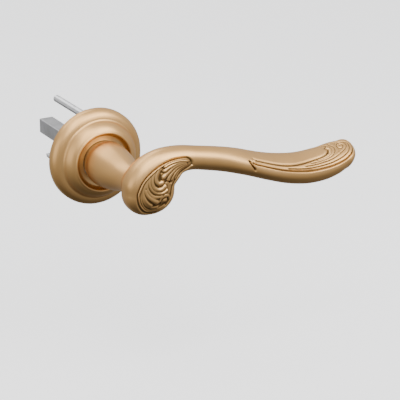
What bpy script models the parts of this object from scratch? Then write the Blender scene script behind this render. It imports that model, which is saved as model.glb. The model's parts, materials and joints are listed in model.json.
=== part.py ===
"""Door lever handle on a round sprung rose: one half set, with its spindle and fixings.

World frame: metres, +Z up, the door's face is the plane y = 0, and the lever points to +X.
Everything is modelled in the door's own frame, which stands out of the door:
x is to the right, y is up along the door, and z is the height above the door's face.
The empties turn that frame by a quarter turn about X, so its z becomes the world's -Y.
"""
import math

import bmesh
import bpy
from mathutils import Vector

MM = 0.001
QUARTER = math.pi / 2

# Rose cover: a two-step turned shell
ROSE_RADIUS = 26.0
COVER_WALL = 0.8
COVER_HOLE = 11.1
LIP_RADIUS = 15.7
LIP_HEIGHT = 12.75
STEP_RADIUS = 20.75
STEP_HEIGHT = 6.4

# Base plate and the spring chamber in its boss
PLATE_RADIUS = 24.6
PLATE_HEIGHT = 4.4
BOSS_RADIUS = 18.6
BOSS_HEIGHT = 7.1
CHAMBER_RADIUS = 14.6
CHAMBER_FLOOR = 4.0
BACK_RECESS_RADIUS = 12.2
BACK_RECESS_DEPTH = 2.6
LID_BOTTOM = 7.4
LID_TOP = 8.4

# Neck, its journal and the spindle
JOURNAL_RADIUS = 8.4
JOURNAL_END = 0.4
JOURNAL_FLAT = 7.5
BUSH_BORE = 8.7
NECK_BASE = 9.2
NECK_SEAT = 48.2
NECK_TIP_RADIUS = 7.3
TENON_RADIUS = 5.0
TENON_END = 53.4
SPINDLE_SIDE = 8.0
SPINDLE_FRONT = 33.0
SPINDLE_BACK = -60.0
GRUB_HEIGHT = 21.0

# Mechanism in the chamber
ROTOR_BOTTOM = 4.3
ROTOR_TOP = 5.5
ROTOR_RADIUS = 10.0
LUG_RADIUS = 11.7
LUG_HALF_ANGLE = 12.0
STOP_PIN_RADIUS = 0.8
STOP_PIN_CIRCLE = 10.95
STOP_PIN_TOP = 5.9
STOP_GAP_ANGLE = 17.2
STOP_LUG_ANGLE = 100.0
LEVER_TRAVEL = 45.0
COIL_RADIUS = 12.9
COIL_WIRE_RADIUS = 0.5
COIL_PITCH = 1.1
COIL_TURNS = 1.67
COIL_BOTTOM = 4.9
SPRING_LUG_ANGLE = 295.0
LEG_GAP_ANGLE = 4.0
ROTOR_ARC_STEPS = 22

# Fixings
BOLT_CIRCLE = 19.0
WOOD_SCREW_CIRCLE = 20.6
LID_SCREW_OFFSET = 11.5

GAP = 0.3

# Lever grip: stations along its middle line, from the hanging drop to the paddle's tip.
# Each has x, y, z in the door's frame, the direction across the grip in degrees,
# half the width, half the thickness, the roll of the section in degrees, and its squareness.
GRIP_STATIONS = (
    (3.2, -3.4, 54.2, 178, 13.6, 8.4, 0, 2.7),
    (3.4, 1.6, 54.4, 170, 13.8, 8.4, 0, 2.7),
    (6.1, 5.7, 54.7, 158, 13.1, 8.1, 0, 2.6),
    (9.9, 8.9, 55.1, 146, 11.7, 7.7, 0, 2.4),
    (14.1, 11.2, 55.6, 135, 9.9, 7.1, 0, 2.2),
    (19.1, 12.0, 55.9, 122, 8.1, 6.8, 5, 2.1),
    (25.0, 11.7, 56.1, 109, 7.0, 6.5, 15, 2.0),
    (32.0, 10.3, 56.3, 103, 6.7, 6.5, 28, 2.0),
    (43.0, 7.9, 56.6, 103, 7.1, 6.6, 40, 2.0),
    (55.0, 4.5, 56.9, 107, 8.2, 6.8, 50, 2.1),
    (67.0, 0.4, 57.0, 108, 9.2, 6.9, 58, 2.2),
    (79.0, -3.1, 57.0, 103, 9.5, 6.8, 62, 2.3),
    (92.0, -5.2, 57.0, 96, 9.7, 6.6, 64, 2.4),
    (104.0, -4.9, 57.0, 87, 9.9, 6.4, 64, 2.5),
    (112.0, -3.5, 57.0, 82, 9.7, 6.2, 64, 2.5),
    (117.5, -2.3, 57.0, 80, 8.6, 5.8, 64, 2.5),
)
DROP_END_LENGTH = 12.1
TIP_END_LENGTH = 6.9
GRIP_RINGS = 36
GRIP_END_RINGS = 6
GRIP_SIDES = 32


# ---------------------------------------------------------------- scene and materials

def clear_scene():
    for old in list(bpy.data.objects):
        bpy.data.objects.remove(old, do_unlink=True)


def new_collection(name):
    group = bpy.data.collections.new(name)
    bpy.context.scene.collection.children.link(group)
    return group


def new_material(name, color, roughness, metallic):
    material = bpy.data.materials.new(name)
    material.use_nodes = True
    shader = material.node_tree.nodes["Principled BSDF"]
    shader.inputs["Base Color"].default_value = (*color, 1.0)
    shader.inputs["Roughness"].default_value = roughness
    shader.inputs["Metallic"].default_value = metallic
    return material


def new_frame(name, group):
    frame = bpy.data.objects.new(name, None)
    frame.rotation_euler.x = QUARTER
    frame.empty_display_size = 0.02
    group.objects.link(frame)
    return frame


def place(obj, frame, group, material=None):
    group.objects.link(obj)
    obj.parent = frame
    if material is not None:
        obj.data.materials.append(material)
    return obj


def shade(mesh, angle=35.0):
    mesh.shade_smooth()
    mesh.set_sharp_from_angle(angle=math.radians(angle))


# ---------------------------------------------------------------- shapes

def mesh_object(name, bm):
    mesh = bpy.data.meshes.new(name)
    bm.to_mesh(mesh)
    bm.free()
    shade(mesh)
    return bpy.data.objects.new(name, mesh)


def turned(name, profile, segments=32, closed=False):
    """A profile of (radius, height) points, outer side top to bottom, turned about z."""
    bm = bmesh.new()
    verts = [bm.verts.new((r * MM, 0.0, h * MM)) for r, h in profile]
    for first, second in zip(verts, verts[1:]):
        bm.edges.new((first, second))
    if closed:
        bm.edges.new((verts[-1], verts[0]))
    obj = mesh_object(name, bm)
    screw = obj.modifiers.new("turn", "SCREW")
    screw.axis = "Z"
    screw.steps = segments
    screw.render_steps = segments
    screw.use_merge_vertices = True
    screw.merge_threshold = 0.00001
    screw.use_smooth_shade = False
    return obj


def washer(name, inner, outer, bottom, top, segments=32):
    profile = ((outer, top), (outer, bottom), (inner, bottom), (inner, top))
    return turned(name, profile, segments, closed=True)


def cylinder(name, radius, bottom, top, x=0.0, y=0.0, segments=24):
    bm = bmesh.new()
    bmesh.ops.create_cone(bm, cap_ends=True, segments=segments, radius1=radius * MM,
                          radius2=radius * MM, depth=(top - bottom) * MM)
    obj = mesh_object(name, bm)
    obj.location = Vector((x, y, (bottom + top) / 2)) * MM
    return obj


def box(name, size, centre):
    bm = bmesh.new()
    bmesh.ops.create_cube(bm, size=1.0)
    bmesh.ops.scale(bm, vec=Vector(size) * MM, verts=bm.verts)
    obj = mesh_object(name, bm)
    obj.location = Vector(centre) * MM
    return obj


def wire(name, points, radius, frame, group, closed=False):
    """A round wire through a list of points, made a mesh with welded caps."""
    curve = bpy.data.curves.new(name, "CURVE")
    curve.dimensions = "3D"
    curve.bevel_depth = radius * MM
    curve.bevel_resolution = 2
    curve.use_fill_caps = True
    spline = curve.splines.new("POLY")
    spline.points.add(len(points) - 1)
    for spot, point in zip(spline.points, points):
        spot.co = (*(Vector(point) * MM), 1.0)
    spline.use_cyclic_u = closed
    drawn = bpy.data.objects.new(name + "_line", curve)
    place(drawn, frame, group)
    bpy.context.view_layer.update()
    depsgraph = bpy.context.evaluated_depsgraph_get()
    mesh = bpy.data.meshes.new_from_object(drawn.evaluated_get(depsgraph))
    bm = bmesh.new()
    bm.from_mesh(mesh)
    bmesh.ops.remove_doubles(bm, verts=bm.verts, dist=0.00001)
    bm.to_mesh(mesh)
    bm.free()
    shade(mesh)
    bpy.data.objects.remove(drawn, do_unlink=True)
    return bpy.data.objects.new(name, mesh)


def cut(obj, cutters, frame, group):
    """Take each cutter out of the object, and file the cutters away."""
    for number, cutter in enumerate(cutters):
        cutter.name = f"cut_{obj.name}_{number}"
        cutter.hide_render = True
        cutter.display_type = "WIRE"
        place(cutter, frame, group)
        tool = obj.modifiers.new("cut", "BOOLEAN")
        tool.operation = "DIFFERENCE"
        tool.solver = "EXACT"
        tool.object = cutter
    return obj


def arc(centre, radius, start, end, steps):
    """Points of a circular arc in the (radius, height) plane, angles in degrees."""
    points = []
    for step in range(steps + 1):
        angle = math.radians(start + (end - start) * step / steps)
        points.append((centre[0] + radius * math.cos(angle), centre[1] + radius * math.sin(angle)))
    return points


def polar(radius, degrees):
    return radius * math.cos(math.radians(degrees)), radius * math.sin(math.radians(degrees))


# ---------------------------------------------------------------- the grip's loft

def slopes(knots, rows):
    """Slope of every column at every knot, for a smooth curve through the rows."""
    last = len(rows) - 1
    result = []
    for i in range(len(rows)):
        before = max(i - 1, 0)
        after = min(i + 1, last)
        span = knots[after] - knots[before]
        result.append([(b - a) / span for a, b in zip(rows[before], rows[after])])
    return result


def smooth_row(knots, rows, gradients, distance):
    """The row at a distance along the smooth curve."""
    i = 0
    while i < len(rows) - 2 and distance > knots[i + 1]:
        i += 1
    step = knots[i + 1] - knots[i]
    s = (distance - knots[i]) / step
    start = (1 + 2 * s) * (1 - s) ** 2
    start_slope = s * (1 - s) ** 2 * step
    end = s * s * (3 - 2 * s)
    end_slope = s * s * (s - 1) * step
    columns = zip(rows[i], gradients[i], rows[i + 1], gradients[i + 1])
    return [start * a + start_slope * ga + end * b + end_slope * gb for a, ga, b, gb in columns]


def grip_ring(row, direction, shift, scale):
    """One cross-section: a rounded oval square to the middle line."""
    x, y, z, across_angle, half_width, half_depth, roll, squareness = row
    across = Vector((math.cos(math.radians(across_angle)), math.sin(math.radians(across_angle)), 0))
    outward = Vector((0, 0, 1))
    roll = math.radians(roll)
    normal = outward * math.cos(roll) + across * math.sin(roll)
    side = outward * math.sin(roll) - across * math.cos(roll)
    middle = Vector((x, y, z)) + direction * shift
    ring = []
    for corner in range(GRIP_SIDES):
        angle = 2 * math.pi * corner / GRIP_SIDES
        c = math.cos(angle)
        s = math.sin(angle)
        u = math.copysign(abs(c) ** (2 / squareness), c) * half_width * scale
        v = math.copysign(abs(s) ** (2 / squareness), s) * half_depth * scale
        ring.append(middle + side * u + normal * v)
    return ring


def grip_rings():
    """Cross-sections from one rounded end to the other."""
    middles = [Vector(row[:3]) for row in GRIP_STATIONS]
    knots = [0.0]
    for first, second in zip(middles, middles[1:]):
        knots.append(knots[-1] + (second - first).length)
    gradients = slopes(knots, GRIP_STATIONS)
    length = knots[-1]
    rows = []
    for i in range(GRIP_RINGS):
        rows.append(smooth_row(knots, GRIP_STATIONS, gradients, length * i / (GRIP_RINGS - 1)))
    middles = [Vector(row[:3]) for row in rows]
    first_way = (middles[1] - middles[0]).normalized()
    last_way = (middles[-1] - middles[-2]).normalized()
    rings = []
    for i in range(1, GRIP_END_RINGS):
        angle = QUARTER * i / GRIP_END_RINGS
        shift = -DROP_END_LENGTH * math.cos(angle)
        rings.append(grip_ring(rows[0], first_way, shift, math.sin(angle)))
    for i, row in enumerate(rows):
        way = (middles[min(i + 1, len(rows) - 1)] - middles[max(i - 1, 0)]).normalized()
        rings.append(grip_ring(row, way, 0.0, 1.0))
    for i in range(GRIP_END_RINGS - 1, 0, -1):
        angle = QUARTER * i / GRIP_END_RINGS
        shift = TIP_END_LENGTH * math.cos(angle)
        rings.append(grip_ring(rows[-1], last_way, shift, math.sin(angle)))
    ends = (middles[0] - first_way * DROP_END_LENGTH, middles[-1] + last_way * TIP_END_LENGTH)
    return rings, ends


def loft(name, rings, ends):
    """A closed body through a row of rings, with a pole at each end."""
    bm = bmesh.new()
    rows = [[bm.verts.new(point * MM) for point in ring] for ring in rings]
    first_pole = bm.verts.new(ends[0] * MM)
    last_pole = bm.verts.new(ends[1] * MM)
    count = len(rows[0])
    for lower, upper in zip(rows, rows[1:]):
        for i in range(count):
            k = (i + 1) % count
            bm.faces.new((lower[i], lower[k], upper[k], upper[i]))
    for i in range(count):
        k = (i + 1) % count
        bm.faces.new((first_pole, rows[0][k], rows[0][i]))
        bm.faces.new((last_pole, rows[-1][i], rows[-1][k]))
    bmesh.ops.recalc_face_normals(bm, faces=bm.faces)
    return mesh_object(name, bm)


# ---------------------------------------------------------------- the rose

def make_rose_cover():
    profile = [(COVER_HOLE, 10.0), (13.7, 10.1), (14.5, 10.9), (15.0, 11.9)]
    profile += arc((LIP_RADIUS, LIP_HEIGHT - 0.7), 0.7, 150, 30, 4)
    profile += [(17.3, 11.8), (18.8, 10.4), (20.0, 8.7), (20.4, 7.6)]
    profile += [(STEP_RADIUS, STEP_HEIGHT + 0.5), (21.4, STEP_HEIGHT + 0.1)]
    profile += [(22.7, 6.1), (24.2, 5.3), (25.4, 3.9), (ROSE_RADIUS, 2.2), (ROSE_RADIUS, 0.0)]
    cover = turned("rose_cover", profile, 48)
    wall = cover.modifiers.new("wall", "SOLIDIFY")
    wall.thickness = COVER_WALL * MM
    wall.offset = -1.0
    return cover


def make_base_plate(frame, cutters):
    profile = [(0.0, BOSS_HEIGHT), (BOSS_RADIUS, BOSS_HEIGHT), (BOSS_RADIUS, PLATE_HEIGHT)]
    profile += [(23.4, PLATE_HEIGHT), (PLATE_RADIUS, 3.2), (PLATE_RADIUS, 2.5)]
    profile += [(23.7, 2.5), (23.7, 1.1), (PLATE_RADIUS, 1.1), (PLATE_RADIUS, 0.0), (0.0, 0.0)]
    plate = turned("base_plate", profile, 48)
    tools = [
        cylinder("chamber", CHAMBER_RADIUS, CHAMBER_FLOOR, 9.0, segments=48),
        cylinder("bearing_hole", 10.4, 1.0, 5.0, segments=32),
        cylinder("back_recess", BACK_RECESS_RADIUS, -1.0, BACK_RECESS_DEPTH, segments=40),
        box("spring_leg_slot", (3.2, 1.6, 3.0), (*polar(15.4, coil_end_angle()), 7.5)),
    ]
    tools[-1].rotation_euler.z = math.radians(coil_end_angle())
    for sign in (1, -1):
        y = sign * BOLT_CIRCLE
        tools.append(cylinder("bolt_hole", 2.3, -1.0, 5.0, 0.0, y))
        tools.append(cylinder("bolt_head_pocket", 3.8, 2.4, 9.0, 0.0, y))
        tools.append(cylinder("sleeve_seat", 3.9, -1.0, 1.2, 0.0, y))
        x = sign * WOOD_SCREW_CIRCLE
        tools.append(cylinder("wood_screw_hole", 1.6, -1.0, 5.0, x))
        tools.append(cylinder("wood_screw_pocket", 2.8, 2.9, 9.0, x))
    for x, y in lid_screw_places():
        tools.append(cylinder("lid_screw_hole", 1.05, 3.4, 9.0, x, y, 16))
    for angle in stop_pin_angles().values():
        x, y = polar(STOP_PIN_CIRCLE, angle)
        tools.append(cylinder("stop_pin_hole", STOP_PIN_RADIUS + 0.15, 2.9, 5.0, x, y, 16))
    return cut(plate, tools, frame, cutters)


def lid_screw_places():
    offset = LID_SCREW_OFFSET
    return ((offset, offset), (-offset, offset), (-offset, -offset), (offset, -offset))


def make_lid(frame, cutters):
    lid = washer("cassette_lid", 10.5, BOSS_RADIUS, LID_BOTTOM, LID_TOP, 48)
    tools = []
    for sign in (1, -1):
        tools.append(cylinder("bolt_notch", 3.8, 6.0, 10.0, 0.0, sign * BOLT_CIRCLE))
        tools.append(cylinder("screw_notch", 2.8, 6.0, 10.0, sign * WOOD_SCREW_CIRCLE))
    for x, y in lid_screw_places():
        tools.append(cylinder("screw_hole", 1.1, 6.0, 10.0, x, y, 16))
        tools.append(cylinder("head_recess", 1.85, LID_BOTTOM + GAP, 10.0, x, y, 16))
    return cut(lid, tools, frame, cutters)


def make_front_bush():
    profile = ((11.6, 8.95), (11.6, 8.55), (10.2, 8.55), (10.2, 6.4), (BUSH_BORE, 6.4), (BUSH_BORE, 8.95))
    return turned("front_bush", profile, 32, closed=True)


def make_cover_ring(frame, group):
    points = []
    steps = 30
    for step in range(steps + 1):
        x, y = polar(24.45, 15.0 + 330.0 * step / steps)
        points.append((x, y, 1.8))
    return wire("cover_ring", points, 0.42, frame, group)


# ---------------------------------------------------------------- the mechanism

def stop_pin_angles():
    return {
        "stop_pin_rest": STOP_LUG_ANGLE + STOP_GAP_ANGLE,
        "stop_pin_down": STOP_LUG_ANGLE - LEVER_TRAVEL - STOP_GAP_ANGLE,
    }


def make_rotor(frame, cutters):
    """A disc with two flats in its bore, a stop lug and a spring lug."""
    points = []
    lugs = (STOP_LUG_ANGLE, SPRING_LUG_ANGLE)
    for lug, following in zip(lugs, (SPRING_LUG_ANGLE, STOP_LUG_ANGLE + 360.0)):
        for turn in (-1, 0, 1):
            points.append(polar(LUG_RADIUS, lug + turn * LUG_HALF_ANGLE))
        first = lug + LUG_HALF_ANGLE
        span = following - LUG_HALF_ANGLE - first
        for step in range(ROTOR_ARC_STEPS + 1):
            points.append(polar(ROTOR_RADIUS, first + span * step / ROTOR_ARC_STEPS))
    bm = bmesh.new()
    verts = [bm.verts.new((x * MM, y * MM, ROTOR_BOTTOM * MM)) for x, y in points]
    face = bm.faces.new(verts)
    raised = bmesh.ops.extrude_face_region(bm, geom=[face])
    moved = [item for item in raised["geom"] if isinstance(item, bmesh.types.BMVert)]
    bmesh.ops.translate(bm, vec=(0, 0, (ROTOR_TOP - ROTOR_BOTTOM) * MM), verts=moved)
    bmesh.ops.recalc_face_normals(bm, faces=bm.faces)
    rotor = mesh_object("rotor", bm)
    bore = cylinder("bore", JOURNAL_RADIUS + GAP, 0.0, 9.0, segments=32)
    flats = box("flats", (30.0, (JOURNAL_FLAT + 0.2) * 2, 20.0), (0, 0, 4.0))
    shape = bore.modifiers.new("flats", "BOOLEAN")
    shape.operation = "INTERSECT"
    shape.solver = "EXACT"
    shape.object = flats
    flats.name = "cut_rotor_flats"
    flats.hide_render = True
    flats.display_type = "WIRE"
    place(flats, frame, cutters)
    return cut(rotor, [bore], frame, cutters)


def coil_start_angle():
    """The lower leg stands just ahead of the rotor's spring lug, which pushes it as the lever drops."""
    return SPRING_LUG_ANGLE - LUG_HALF_ANGLE - LEG_GAP_ANGLE


def coil_end_angle():
    return coil_start_angle() + 360.0 * COIL_TURNS


def make_return_spring(frame, group):
    """A torsion coil: its lower leg hooks behind the rotor's lug, its upper leg in the boss."""
    start = coil_start_angle()
    points = [(*polar(10.8, start), COIL_BOTTOM), (*polar(COIL_RADIUS - 0.7, start), COIL_BOTTOM)]
    steps = round(24 * COIL_TURNS)
    for step in range(1, steps):
        turn = COIL_TURNS * step / steps
        x, y = polar(COIL_RADIUS, start + 360.0 * turn)
        points.append((x, y, COIL_BOTTOM + COIL_PITCH * turn))
    top = COIL_BOTTOM + COIL_PITCH * COIL_TURNS
    points.append((*polar(COIL_RADIUS + 0.7, coil_end_angle()), top))
    points.append((*polar(16.3, coil_end_angle()), top))
    return wire("return_spring", points, COIL_WIRE_RADIUS, frame, group)


def make_circlip(frame, cutters):
    ring = washer("circlip", 7.95, 10.4, 0.95, 1.65, 40)
    mouth = box("mouth", (6.0, 5.0, 3.0), (0, -9.5, 1.3))
    return cut(ring, [mouth], frame, cutters)


# ---------------------------------------------------------------- the lever

def make_neck(frame, cutters):
    profile = [(0.0, TENON_END), (TENON_RADIUS - 0.4, TENON_END), (TENON_RADIUS, TENON_END - 0.4)]
    profile += [(TENON_RADIUS, NECK_SEAT), (NECK_TIP_RADIUS, NECK_SEAT)]
    profile += [(7.35, 43.5), (7.75, 39.5), (8.45, 35.8), (9.45, 31.8), (10.5, 27.6)]
    profile += [(11.25, 23.5), (11.75, 19.2), (11.95, 16.0), (11.75, 13.6)]
    profile += [(11.3, 12.1), (10.9, 10.9)]
    profile += arc((10.5, NECK_BASE + 0.3), 0.3, 0, -90, 2)
    profile += [(JOURNAL_RADIUS, NECK_BASE), (JOURNAL_RADIUS, 1.8), (7.6, 1.8), (7.6, 0.8)]
    profile += [(JOURNAL_RADIUS, 0.8), (JOURNAL_RADIUS, JOURNAL_END), (0.0, JOURNAL_END)]
    neck = turned("neck", profile, 40)
    socket = box("socket", (SPINDLE_SIDE + 0.4, SPINDLE_SIDE + 0.4, 35.0), (0, 0, 16.5))
    tools = [socket]
    grub = cylinder("grub_hole", 2.3, 2.0, 14.0, segments=20)
    grub.rotation_euler.x = QUARTER
    grub.location = Vector((0, -8.0, GRUB_HEIGHT)) * MM
    tools.append(grub)
    middle = (ROTOR_BOTTOM + ROTOR_TOP) / 2
    for sign in (1, -1):
        tools.append(box("flat", (20.0, 4.0, 1.6), (0, sign * (JOURNAL_FLAT + 2.0), middle)))
    return cut(neck, tools, frame, cutters)


def make_lever_grip(frame, cutters):
    rings, ends = grip_rings()
    grip = loft("lever_grip", rings, ends)
    seat = cylinder("neck_seat", NECK_TIP_RADIUS + GAP, 40.0, NECK_SEAT + GAP, segments=40)
    hole = cylinder("tenon_hole", TENON_RADIUS + GAP, 44.0, TENON_END + GAP, segments=32)
    return cut(grip, [seat, hole], frame, cutters)


def make_spindle():
    length = SPINDLE_FRONT - SPINDLE_BACK
    centre = (SPINDLE_FRONT + SPINDLE_BACK) / 2
    spindle = box("spindle", (SPINDLE_SIDE, SPINDLE_SIDE, length), (0, 0, centre))
    edge = spindle.modifiers.new("edge", "BEVEL")
    edge.width = 0.5 * MM
    edge.segments = 2
    edge.limit_method = "ANGLE"
    return spindle


def make_grub_screw(frame, cutters):
    profile = ((0.0, -4.4), (1.2, -4.4), (2.0, -5.2), (2.0, -10.2), (1.7, -10.5), (0.0, -10.5))
    screw = turned("grub_screw", profile, 20)
    key = cylinder("key", 1.15, -11.0, -8.6, segments=6)
    for obj in (screw, key):
        obj.rotation_euler.x = -QUARTER
    screw.location.z = GRUB_HEIGHT * MM
    key.location = Vector((0, -9.8, GRUB_HEIGHT)) * MM
    return cut(screw, [key], frame, cutters)


# ---------------------------------------------------------------- fixings

def make_screw(name, head, shank, place_xy, frame, cutters):
    """A screw standing out of the door: head and shank are (radius, bottom, top)."""
    head_radius, head_bottom, head_top = head
    shank_radius, shank_bottom, point = shank
    rim = head_radius * 0.12
    profile = [(0.0, head_top), (head_radius - rim, head_top), (head_radius, head_top - rim)]
    profile += [(head_radius, head_bottom), (shank_radius, head_bottom)]
    profile += [(shank_radius, shank_bottom + point), (0.0 if point > 1 else shank_radius * 0.7, shank_bottom)]
    if point <= 1:
        profile.append((0.0, shank_bottom))
    screw = turned(name, profile, 20)
    x, y = place_xy
    screw.location = Vector((x, y, 0)) * MM
    slots = []
    for turn in (0, QUARTER):
        size = (head_radius * 1.3, head_radius * 0.24, 1.0)
        slot = box("slot", size, (x, y, head_top + 0.05))
        slot.rotation_euler.z = turn
        slots.append(slot)
    return cut(screw, slots, frame, cutters)


def make_sleeve(name, y):
    sleeve = washer(name, 2.3, 3.6, -9.0, 0.9, 24)
    sleeve.location.y = y * MM
    return sleeve


# ---------------------------------------------------------------- assembly

def main():
    clear_scene()
    parts = new_collection("door_lever_handle")
    cutters = new_collection("cutters")
    rose = new_frame("rose_frame", parts)
    lever = new_frame("lever_frame", parts)

    gold = new_material("satin_gold", (0.60, 0.42, 0.26), 0.34, 1.0)
    zamak = new_material("zinc_casting", (0.42, 0.42, 0.43), 0.5, 1.0)
    steel = new_material("zinc_plated_steel", (0.60, 0.61, 0.63), 0.35, 1.0)
    dark_steel = new_material("spring_steel", (0.22, 0.22, 0.24), 0.4, 1.0)
    nylon = new_material("white_nylon", (0.78, 0.77, 0.73), 0.5, 0.0)

    place(make_rose_cover(), rose, parts, gold)
    place(make_base_plate(rose, cutters), rose, parts, zamak)
    place(make_lid(rose, cutters), rose, parts, steel)
    place(make_front_bush(), rose, parts, nylon)
    place(washer("rear_bush", BUSH_BORE, 10.1, 2.75, 3.9), rose, parts, nylon)
    place(make_cover_ring(rose, cutters), rose, parts, dark_steel)
    place(make_return_spring(rose, cutters), rose, parts, dark_steel)
    for name, angle in stop_pin_angles().items():
        x, y = polar(STOP_PIN_CIRCLE, angle)
        place(cylinder(name, STOP_PIN_RADIUS, 3.1, STOP_PIN_TOP, x, y, 16), rose, parts, dark_steel)

    for number, spot in enumerate(lid_screw_places(), 1):
        screw = make_screw(f"lid_screw_{number}", (1.6, 7.95, 8.7), (0.85, 4.0, 0.4), spot,
                           rose, cutters)
        place(screw, rose, parts, steel)
    for side, sign in (("upper", 1), ("lower", -1)):
        y = sign * BOLT_CIRCLE
        bolt = make_screw(f"through_bolt_{side}", (3.4, 2.7, 4.8), (1.95, -45.0, 0.6), (0.0, y),
                          rose, cutters)
        place(bolt, rose, parts, steel)
        place(make_sleeve(f"support_sleeve_{side}", y), rose, parts, steel)
    for side, sign in (("right", 1), ("left", -1)):
        spot = (sign * WOOD_SCREW_CIRCLE, 0.0)
        screw = make_screw(f"wood_screw_{side}", (2.4, 3.2, 4.5), (1.3, -15.0, 3.0), spot,
                           rose, cutters)
        place(screw, rose, parts, steel)

    place(make_neck(lever, cutters), lever, parts, gold)
    place(make_lever_grip(lever, cutters), lever, parts, gold)
    place(make_spindle(), lever, parts, steel)
    place(make_grub_screw(lever, cutters), lever, parts, dark_steel)
    place(make_rotor(lever, cutters), lever, parts, steel)
    place(make_circlip(lever, cutters), lever, parts, dark_steel)
    place(washer("back_washer", 8.8, 11.6, 1.95, 2.4), lever, parts, steel)


main()
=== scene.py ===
import json
import math

import bpy
import numpy as np
from mathutils import Matrix, Vector


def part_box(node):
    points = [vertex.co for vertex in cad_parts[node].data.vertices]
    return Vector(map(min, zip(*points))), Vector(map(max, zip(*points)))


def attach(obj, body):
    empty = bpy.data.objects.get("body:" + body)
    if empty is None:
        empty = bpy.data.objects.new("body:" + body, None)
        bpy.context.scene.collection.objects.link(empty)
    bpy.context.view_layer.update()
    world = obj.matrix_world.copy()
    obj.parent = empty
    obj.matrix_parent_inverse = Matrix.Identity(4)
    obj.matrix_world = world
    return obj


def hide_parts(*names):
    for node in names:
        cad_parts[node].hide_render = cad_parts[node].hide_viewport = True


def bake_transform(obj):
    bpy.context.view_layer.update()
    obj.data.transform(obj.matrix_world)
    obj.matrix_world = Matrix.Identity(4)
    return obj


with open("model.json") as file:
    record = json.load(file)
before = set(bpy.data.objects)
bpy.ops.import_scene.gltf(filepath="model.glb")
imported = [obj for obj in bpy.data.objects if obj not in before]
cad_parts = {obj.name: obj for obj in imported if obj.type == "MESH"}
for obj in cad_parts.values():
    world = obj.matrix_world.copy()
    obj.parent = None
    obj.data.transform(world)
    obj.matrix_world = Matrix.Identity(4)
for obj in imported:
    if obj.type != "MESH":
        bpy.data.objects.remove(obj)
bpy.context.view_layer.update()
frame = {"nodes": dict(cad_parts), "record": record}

# Door lever handle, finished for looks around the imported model.
#
# Shapes are worked out in the door's own frame, in millimetres: x to the right, y up along the
# door, and z the height above the door's face. to_world turns that into the world's metres,
# where the door's face is the plane y = 0, +Z is up and +Y goes into the door.

MM = 0.001
QUARTER = math.pi / 2

# The photograph's viewpoint
CAMERA_AZIMUTH = -29.5
CAMERA_ELEVATION = 20.7
CAMERA_DISTANCE = 0.9007
CAMERA_AIM = (0.0442, -0.0345, -0.0219)
CAMERA_LENS = 154.8


# ---------------------------------------------------------------- curves and fields

def smooth_line(points, per_step=6):
    """A smooth line through the points, as an array with per_step points to a step."""
    points = np.asarray(points, float)
    if len(points) < 3:
        return points
    padded = np.vstack([2 * points[0] - points[1], points, 2 * points[-1] - points[-2]])
    line = []
    for i in range(len(points) - 1):
        p0, p1, p2, p3 = padded[i:i + 4]
        for step in range(per_step):
            t = step / per_step
            line.append(0.5 * (2 * p1 + (p2 - p0) * t + (2 * p0 - 5 * p1 + 4 * p2 - p3) * t ** 2
                               + (3 * p1 - p0 - 3 * p2 + p3) * t ** 3))
    line.append(points[-1])
    return np.array(line)


def along_line(spots, line):
    """For every spot: how far it is from the line, and how far along the line, from 0 to 1."""
    steps = np.linalg.norm(np.diff(line, axis=0), axis=1)
    starts = np.concatenate([[0.0], np.cumsum(steps)])
    nearest = np.full(len(spots), 1e9)
    place = np.zeros(len(spots))
    for i, step in enumerate(steps):
        way = line[i + 1] - line[i]
        share = np.clip(((spots - line[i]) @ way) / max(step * step, 1e-12), 0, 1)
        away = np.linalg.norm(spots - (line[i] + share[:, None] * way), axis=1)
        closer = away < nearest
        nearest[closer] = away[closer]
        place[closer] = (starts[i] + share[closer] * step) / starts[-1]
    return nearest, place


def inside(spots, outline):
    """True for the spots inside a closed outline."""
    result = np.zeros(len(spots), bool)
    x, y = spots[:, 0], spots[:, 1]
    for (x0, y0), (x1, y1) in zip(outline, np.roll(outline, -1, axis=0)):
        if y0 == y1:
            continue
        crosses = (y0 > y) != (y1 > y)
        result ^= crosses & (x < (x1 - x0) * (y - y0) / (y1 - y0) + x0)
    return result


def fade(value, low, high):
    """0 below low, 1 above high, and smooth in between."""
    t = np.clip((value - low) / (high - low), 0, 1)
    return t * t * (3 - 2 * t)


def add_ridge(height, spots, floor, points, widths, rises, sharpness=0.6):
    """Raises a rounded ridge along a line: half widths and rises at its start and end."""
    away, place = along_line(spots, smooth_line(points))
    width = widths[0] + (widths[1] - widths[0]) * place
    rise = rises[0] + (rises[1] - rises[0]) * place
    bulge = np.clip(1 - (away / width) ** 2, 0, 1) ** sharpness
    np.maximum(height, floor + rise * bulge, out=height)


def cut_groove(height, spots, points, width, depth):
    """Cuts a rounded groove of one half width along a line."""
    away, _ = along_line(spots, smooth_line(points))
    height -= depth * np.clip(1 - (away / width) ** 2, 0, 1) ** 1.5


def sink_pit(height, spots, centre, radius, depth):
    """Sinks a soft round pit, or raises a bead when the depth is below zero."""
    away = np.linalg.norm(spots - np.asarray(centre), axis=1)
    height -= depth * np.exp(-(away / radius) ** 2)


# ---------------------------------------------------------------- meshes

def to_world(points):
    """Door frame millimetres to world metres."""
    points = np.asarray(points, float)
    return np.stack([points[..., 0], -points[..., 2], points[..., 1]], axis=-1) * MM


def enclosed(verts, faces):
    """Six times the volume inside the faces: below zero when they are wound inwards."""
    corners = np.array([(f[0], f[1], f[2]) for f in faces] + [(f[0], f[2], f[-1]) for f in faces])
    a, b, c = (verts[corners[:, i]] for i in range(3))
    return float((a * np.cross(b, c)).sum())


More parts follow.
